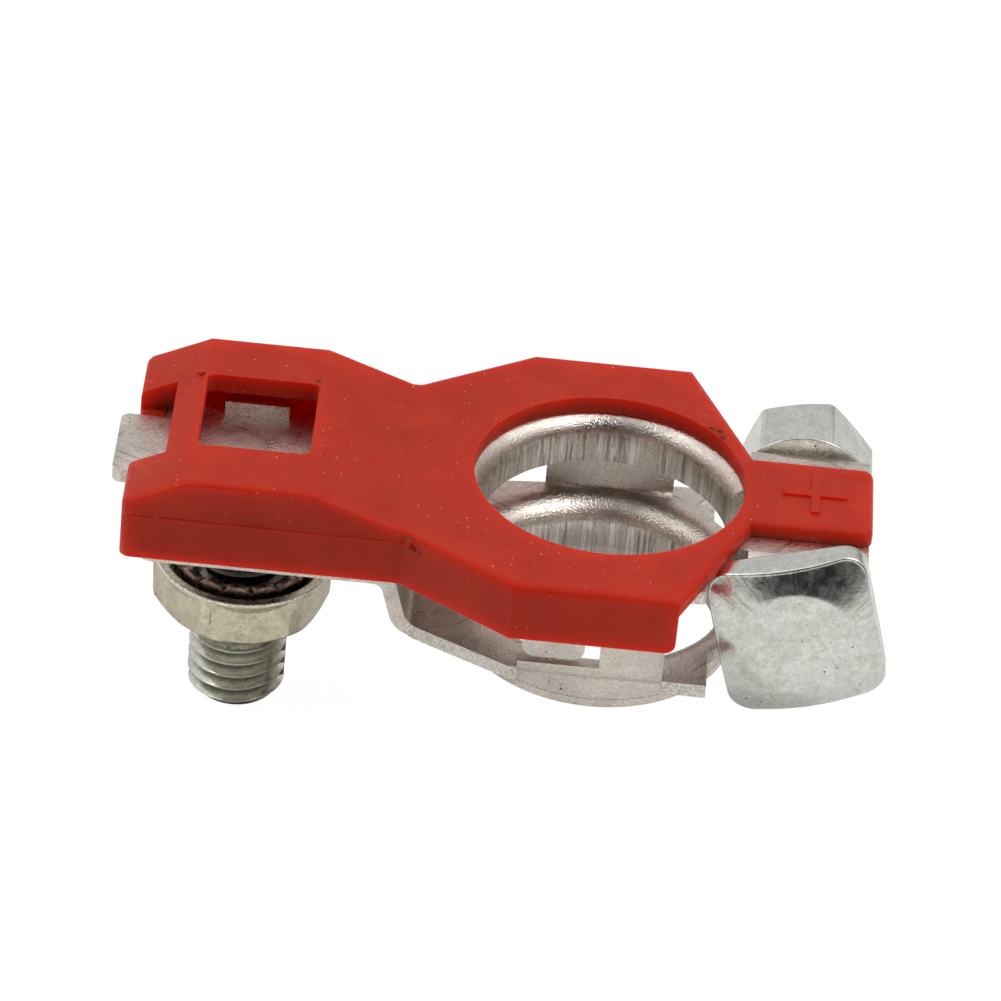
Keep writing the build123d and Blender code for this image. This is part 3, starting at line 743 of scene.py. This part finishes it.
def brushed_tone_with_painted_shade(axis, flat):
    """Tone of a face brushed about a level axis: dark lines that run outwards from the flat middle.

    The lines are noise over the angle about the axis, hardly changing along the radius. They fade out below
    the axis and on the sides, and painted shade darkens the face towards its foot."""

    def tone(s, where, body):
        x, _, z = s.split(where)
        away, across, up = away_from(s, x, z, axis)
        polar = s.add("ShaderNodeCombineXYZ")
        s.feed(polar.inputs[0], s.times(s.math("ARCTAN2", across, up), flat))
        s.feed(polar.inputs[1], s.times(away, 0.06))
        lines = s.ramp(s.noise(polar.outputs[0], 4200.0, 3.0, 0.7), 0.44, 0.66)
        outside = s.ramp(away, flat * 0.96, flat * 1.12, 0.0, 0.5)
        above = s.ramp(up, flat * 0.2, flat * 0.8)
        on_face = s.ramp(s.math("ABSOLUTE", s.split(s.facing())[1]), 0.5, 0.8)
        body = s.blend(s.times(lines, outside, above, on_face), body, BRUSH_LINE)
        # Painted shade: the face darkens towards its foot
        return s.blend(s.ramp(up, -flat * 1.6, -flat * 1.05, 0.45, 0.0), body, HEAD_FOOT_PAINTED_SHADE)

    return tone


def dark_steel_with_painted_light(colour):
    """Dark spring steel with oil shine and worn lighter patches. Its red-brown tint is a painted reflection
    of the red cover, and its darkness is partly the steel's own and partly painted shade.
    """
    material, s, surface, where = new_material("dark spring steel", Metallic=1.0)
    cloud = s.shared("drift", where, Scale=900.0, Low=0.0, High=1.0)
    # Base colour: dark steel with a painted red reflection and partly painted shade
    s.feed(surface.inputs["Base Color"], s.blend(cloud, colour, shade(colour, 1.9)))
    rough = s.shared("drift", where, Scale=1500.0, Low=0.22, High=0.42)
    s.feed(surface.inputs["Roughness"], rough)
    bump(s, surface, s.noise(where, 2600.0, 3.0), 0.02 * MM, 0.5)
    return material


def finish_node(name, material, edge):
    """Gives a solid its material and breaks its sharp edges."""
    node = frame["nodes"][name]
    node.data.materials.clear()
    node.data.materials.append(material)
    weld = node.modifiers.new("join faces", "WELD")
    weld.merge_threshold = 1e-6
    flat = node.modifiers.new("whole flats", "DECIMATE")
    flat.decimate_type = "DISSOLVE"
    flat.angle_limit = math.radians(0.4)
    soft = node.modifiers.new("broken edges", "BEVEL")
    soft.width = edge
    soft.segments = 3
    soft.limit_method = "ANGLE"
    soft.angle_limit = math.radians(28)
    soft.harden_normals = True
    soft.use_clamp_overlap = True
    return node


class CLAMP_OT_cover(bpy.types.Operator):
    """Finish the red cover"""

    bl_idname = "clamp.cover"
    bl_label = "Cover"

    # Beads of flash left by the mould: place and half sizes in millimetres
    FLASH = (
        ((-15.35, -10.90, 13.50), (0.50, 0.40, 0.46)),
        ((-14.90, -11.10, 13.20), (0.46, 0.32, 0.30)),
        ((-14.35, -11.45, 13.15), (0.20, 0.16, 0.16)),
        ((7.94, 8.08, 14.40), (0.30, 0.22, 0.14)),
        ((8.60, 7.76, 14.40), (0.24, 0.28, 0.16)),
        ((8.87, 6.95, 14.40), (0.18, 0.34, 0.14)),
        ((-33.57, 5.10, 16.85), (0.45, 0.22, 0.14)),
        ((-24.02, 5.49, 16.85), (0.30, 0.24, 0.12)),
    )

    # Walls beside the end slot, in millimetres: middle, half sizes, lowest and highest above the plate's top
    CHEEKS = (
        (-36.25, 5.43, 0.90, 0.40, 0.00, 1.10),
        (-37.10, 4.95, 1.02, 0.85, -1.00, 0.02),
    )
    CHEEK_CORNER = 0.15 * MM

    def execute(self, context):
        look = context.scene.clamp_finish
        red = red_plastic(tuple(look.cover_red))
        finish_node("cover", red, look.cover_edge)
        beads = []
        for turn, (place, reach) in enumerate(self.FLASH):
            beads.append(lump(np.array(place) * MM, np.array(reach) * MM, turn))
        points, faces = joined(beads)
        piece = put_mesh("cover_flash", points, faces, "clamp", red, smooth_angle=70.0)
        self.cheeks(red)
        return {"FINISHED"}

    def cheeks(self, red):
        """Small walls that close the cover beside the end slot, over the plate and beside its tip."""
        walls = []
        for x, y, half_x, half_y, low, high in self.CHEEKS:
            levels = (UPPER_TOP + low * MM, UPPER_TOP + high * MM)
            wall = rounded_block(half_x * MM, half_y * MM, *levels, self.CHEEK_CORNER)
            for side in (-1.0, 1.0):
                walls.append(wall + np.array([x * MM, side * y * MM, 0.0]))
        points, faces = joined(walls)
        piece = put_mesh("slot_cheeks", points, faces, "clamp", red)


class CLAMP_OT_plates(bpy.types.Operator):
    """Finish the two stamped plates and the lower collar's trimmed lip"""

    bl_idname = "clamp.plates"
    bl_label = "Plates"
    LIP_TOP = 0.30 * MM
    LIP_DROP = 0.60 * MM
    SPLIT_HALF = 2.2 * MM

    def execute(self, context):
        look = context.scene.clamp_finish
        tin = tinned_sheet(tuple(look.tin))
        for name in ("upper_plate", "lower_plate"):
            finish_node(name, tin, look.plate_edge)
        lip = collar_lip(POST_R, POST_R + SHEET, self.LIP_TOP, -self.LIP_DROP, self.SPLIT_HALF)
        points, faces = joined([lip])
        piece = put_mesh("collar_lip", points, faces, "clamp", tin)
        return {"FINISHED"}


class CLAMP_OT_stud(bpy.types.Operator):
    """Make the threaded stud"""

    bl_idname = "clamp.stud"
    bl_label = "Stud"
    HEAD_CORNER = 1.0 * MM
    # Heights over which painted shade sets in on the upper shank
    SHANK_SHADE_HEIGHTS = (0.0, 1.6 * MM)

    def execute(self, context):
        size = context.scene.clamp_threads
        look = context.scene.clamp_finish
        depth = THREAD_DEPTH * size.stud_pitch
        tone = thread_tone(STUD_AXIS, size.stud_r, depth, self.SHANK_SHADE_HEIGHTS)
        zinc = plated_zinc("stud zinc", tuple(look.stud_zinc), STUD_STAIN, 0.5, (0.15, 0.28), tone=tone)
        under_head = STUD_HIGH.z - size.stud_head_t
        rod = threaded_rod(
            size.stud_r, size.stud_pitch, size.stud_bevel, STUD_LOW.z, under_head + OVERLAP, around=144
        )
        half_x = (STUD_HIGH.x - STUD_LOW.x) / 2
        half_y = (STUD_HIGH.y - STUD_LOW.y) / 2
        head = rounded_block(half_x, half_y, under_head, STUD_HIGH.z, self.HEAD_CORNER)
        points, faces = joined([rod, head])
        points = points + np.array([STUD_AXIS[0], STUD_AXIS[1], 0.0])
        piece = put_mesh("stud_thread", points, faces, "clamp", zinc)
        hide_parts("stud")
        return {"FINISHED"}


class CLAMP_OT_stud_nut(bpy.types.Operator):
    """Finish the stud's nut and its tooth washer"""

    bl_idname = "clamp.stud_nut"
    bl_label = "Stud nut and washer"
    RIM_LOW = 0.45 * MM
    RIM_HIGH = 0.10 * MM

    def execute(self, context):
        look = context.scene.clamp_finish
        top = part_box("stud_nut")[1].z
        tone = rim_tone(top - self.RIM_LOW, top - self.RIM_HIGH)
        olive = plated_zinc("olive zinc", tuple(look.nut_zinc), OLIVE_STAIN, 0.45, (0.20, 0.34), tone=tone)
        finish_node("stud_nut", olive, look.nut_edge)
        finish_node("tooth_washer", dark_steel_with_painted_light(tuple(look.washer_steel)), look.nut_edge * 0.5)
        return {"FINISHED"}


class CLAMP_OT_pinch(bpy.types.Operator):
    """Make the square-head pinch bolt and finish its nut"""

    bl_idname = "clamp.pinch"
    bl_label = "Pinch bolt and nut"

    def execute(self, context):
        size = context.scene.clamp_threads
        look = context.scene.clamp_finish
        foot = (PINCH_AXIS[1] - size.head_w * 0.10, PINCH_AXIS[1] + size.head_w * 0.20)
        tone = brushed_tone_with_painted_shade(PINCH_AXIS, size.head_flat)
        pale = plated_zinc(
            "pale zinc", tuple(look.bolt_zinc), HEAD_STAIN, 0.38, (0.16, 0.28), 0.90, foot, tone
        )
        span = BOLT_HIGH.y - BOLT_LOW.y
        high = span - size.head_t + OVERLAP
        rod = threaded_rod(size.bolt_r, size.bolt_pitch, size.bolt_bevel, 0.0, high)
        rod = rod * np.array([1.0, -1.0, -1.0]) + np.array([0.0, 0.0, span])
        local, faces = joined([self.forged_head(size), rod])
        points = np.stack(
            [PINCH_AXIS[0] + local[:, 0], BOLT_LOW.y + local[:, 2], PINCH_AXIS[1] - local[:, 1]], -1
        )
        piece = put_mesh("pinch_bolt_thread", points, faces, "bolt", pale)
        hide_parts("pinch_bolt")
        plain = plated_zinc("pale nut zinc", tuple(look.bolt_zinc), PALE_STAIN, 0.35, (0.16, 0.28))
        finish_node("pinch_nut", plain, look.nut_edge)
        return {"FINISHED"}

    def forged_head(self, size):
        """The square head turned about its axis, drawn in on its right and drawn down at its foot."""
        turn = -size.head_turn
        spin = np.eye(3)
        spin[:2, :2] = [[math.cos(turn), -math.sin(turn)], [math.sin(turn), math.cos(turn)]]
        head = square_head(size) @ spin.T
        half = size.head_w / 2
        head[..., 0] -= size.head_short * np.maximum(head[..., 0], 0.0) / half
        head[..., 1] += size.head_drop * np.maximum(head[..., 1], 0.0) / half
        return head


def area_light(name, place, aim, wide, power):
    """A square soft light at a place, turned to an aim point."""
    data = bpy.data.lights.new(name, "AREA")
    data.shape = "SQUARE"
    data.size = wide
    data.energy = power
    lamp = bpy.data.objects.new(name, data)
    bpy.context.scene.collection.objects.link(lamp)
    lamp.location = place
    lamp.rotation_mode = "QUATERNION"
    lamp.rotation_quaternion = (Vector(place) - Vector(aim)).to_track_quat("Z", "Y")
    return lamp


class CLAMP_OT_stage(bpy.types.Operator):
    """Set up the floor, the lights and the camera"""

    bl_idname = "clamp.stage"
    bl_label = "Stage"
    FLOOR_HALF = 3.0
    FLOOR_CLEAN = 0.90
    FLOOR_GLOW = 1.08
    TENT_BACK = 0.62
    LAMP_SIZE = 0.24
    # Each lamp's name, place, and share of the side light's power
    LAMPS = (
        ("left light", (-0.38, -0.18, 0.40), 0.55),
        ("right light", (0.30, -0.18, 0.46), 1.45),
    )

    def execute(self, context):
        setup = context.scene.clamp_stage
        scene = context.scene
        scene.view_settings.view_transform = "Standard"
        self.floor()
        self.lights(scene, setup)
        self.camera(scene, setup)
        return {"FINISHED"}

    def floor(self):
        """A wide white floor under the stud's end.

        From above the camera sees it almost without shadow, and from below it is clear."""
        level = CAD_BOX[0].z
        square = ((-1, -1), (1, -1), (1, 1), (-1, 1))
        corners = [(x * self.FLOOR_HALF, y * self.FLOOR_HALF, level) for x, y in square]
        mesh = bpy.data.meshes.new("floor")
        mesh.from_pydata(corners, [], [(0, 1, 2, 3)])
        material, s, surface, _ = new_material(
            "white floor", Roughness=0.9, Base_Color=(0.82, 0.82, 0.81),
        )
        glow = s.add("ShaderNodeEmission")
        mixed = s.add("ShaderNodeMixShader")
        seen = s.add("ShaderNodeLightPath").outputs["Is Camera Ray"]
        s.feed(mixed.inputs[0], s.times(seen, self.FLOOR_CLEAN))
        s.feed(mixed.inputs[1], surface.outputs[0])
        s.feed(mixed.inputs[2], glow.outputs[0])
        clear = s.add("ShaderNodeMixShader")
        s.feed(clear.inputs[0], s.add("ShaderNodeNewGeometry").outputs["Backfacing"])
        s.feed(clear.inputs[1], mixed.outputs[0])
        s.feed(clear.inputs[2], s.add("ShaderNodeBsdfTransparent").outputs[0])
        s.feed(material.node_tree.nodes["Material Output"].inputs["Surface"], clear.outputs[0])
        glow.inputs["Strength"].default_value = self.FLOOR_GLOW
        mesh.materials.append(material)
        floor = bpy.data.objects.new("floor", mesh)
        bpy.context.scene.collection.objects.link(floor)

    def lights(self, scene, setup):
        """A light tent, bright overhead, at the back and at the sides, and two lamps.

        The tent's brightness by direction is (sides + top + back), times what is left of it towards the
        camera, times what is left of it low down on the right."""
        world = bpy.data.worlds.new("light tent")
        world.use_nodes = True
        s = Shader(world.node_tree)
        x, y, z = s.split(s.add("ShaderNodeTexCoord").outputs["Generated"])
        sides = s.ramp(s.math("ABSOLUTE", x), 0.30, 0.80, 0.0, 0.30)
        top = s.ramp(z, 0.55, 0.92, 0.0, 0.42)
        front = s.ramp(s.times(y, -1.0), 0.10, 0.55, 1.0, 0.05)
        low_right = s.times(s.ramp(x, 0.05, 0.45, 0.0, 0.6), s.ramp(z, 0.15, 0.45, 1.0, 0.0))
        left_over = s.times(front, s.math("SUBTRACT", 1.0, low_right))
        tent = s.times(s.plus(sides, top, self.TENT_BACK), left_over)
        background = world.node_tree.nodes["Background"]
        s.feed(background.inputs["Strength"], s.times(tent, setup.room))
        s.feed(background.inputs["Color"], (1.0, 1.0, 1.0))
        scene.world = world
        for name, place, share in self.LAMPS:
            area_light(name, place, (0.0, 0.0, 0.0), self.LAMP_SIZE, setup.side * share)

    def camera(self, scene, setup):
        """A camera on the photograph's line of sight, rolled and aimed at the picture's centre."""
        a, e, r = setup.azimuth, setup.elevation, setup.roll
        back = Vector((math.sin(a) * math.cos(e), -math.cos(a) * math.cos(e), math.sin(e)))
        right = Vector((math.cos(a), math.sin(a), 0.0))
        up = back.cross(right)
        right, up = math.cos(r) * right + math.sin(r) * up, math.cos(r) * up - math.sin(r) * right
        middle = Vector((0.0, 0.0, COVER_TOP))
        place = middle + back * setup.distance
        target = middle + right * setup.centre_right + up * setup.centre_up
        back = (place - target).normalized()
        right = up.cross(back).normalized()
        up = back.cross(right)
        data = bpy.data.cameras.new("photo view")
        data.sensor_width = 36.0
        data.lens = setup.lens
        data.clip_start = 0.01
        data.clip_end = 20.0
        eye = bpy.data.objects.new("photo view", data)
        scene.collection.objects.link(eye)
        eye.matrix_world = Matrix.Translation(place) @ Matrix((right, up, back)).transposed().to_4x4()
        scene.camera = eye


class CLAMP_PT_panel(bpy.types.Panel):
    """Sizes, colours and steps of the clamp"""

    bl_idname = "CLAMP_PT_panel"
    bl_label = "Terminal clamp"
    bl_space_type = "VIEW_3D"
    bl_region_type = "UI"
    bl_category = "Clamp"

    def draw(self, context):
        layout = self.layout
        for group in (context.scene.clamp_finish, context.scene.clamp_threads, context.scene.clamp_stage):
            box = layout.box()
            for name in group.__annotations__:
                box.prop(group, name)
        for step in STEPS:
            layout.operator(step.bl_idname)


STEPS = (CLAMP_OT_cover, CLAMP_OT_plates, CLAMP_OT_stud, CLAMP_OT_stud_nut, CLAMP_OT_pinch, CLAMP_OT_stage)
CLASSES = (ClampFinish, ClampThreads, ClampStage, *STEPS, CLAMP_PT_panel)


def register():
    """Register the classes and hang the property groups on the scene."""
    for made in CLASSES:
        bpy.utils.register_class(made)
    bpy.types.Scene.clamp_finish = bpy.props.PointerProperty(type=ClampFinish)
    bpy.types.Scene.clamp_threads = bpy.props.PointerProperty(type=ClampThreads)
    bpy.types.Scene.clamp_stage = bpy.props.PointerProperty(type=ClampStage)


def unregister():
    """Take the property groups and classes away again."""
    del bpy.types.Scene.clamp_stage
    del bpy.types.Scene.clamp_threads
    del bpy.types.Scene.clamp_finish
    for made in reversed(CLASSES):
        bpy.utils.unregister_class(made)


def main():
    """Build every piece through its operator."""
    register()
    bpy.ops.clamp.cover()
    bpy.ops.clamp.plates()
    bpy.ops.clamp.stud()
    bpy.ops.clamp.stud_nut()
    bpy.ops.clamp.pinch()
    bpy.ops.clamp.stage()
    bpy.context.view_layer.update()


if __name__ == "__main__":
    main()
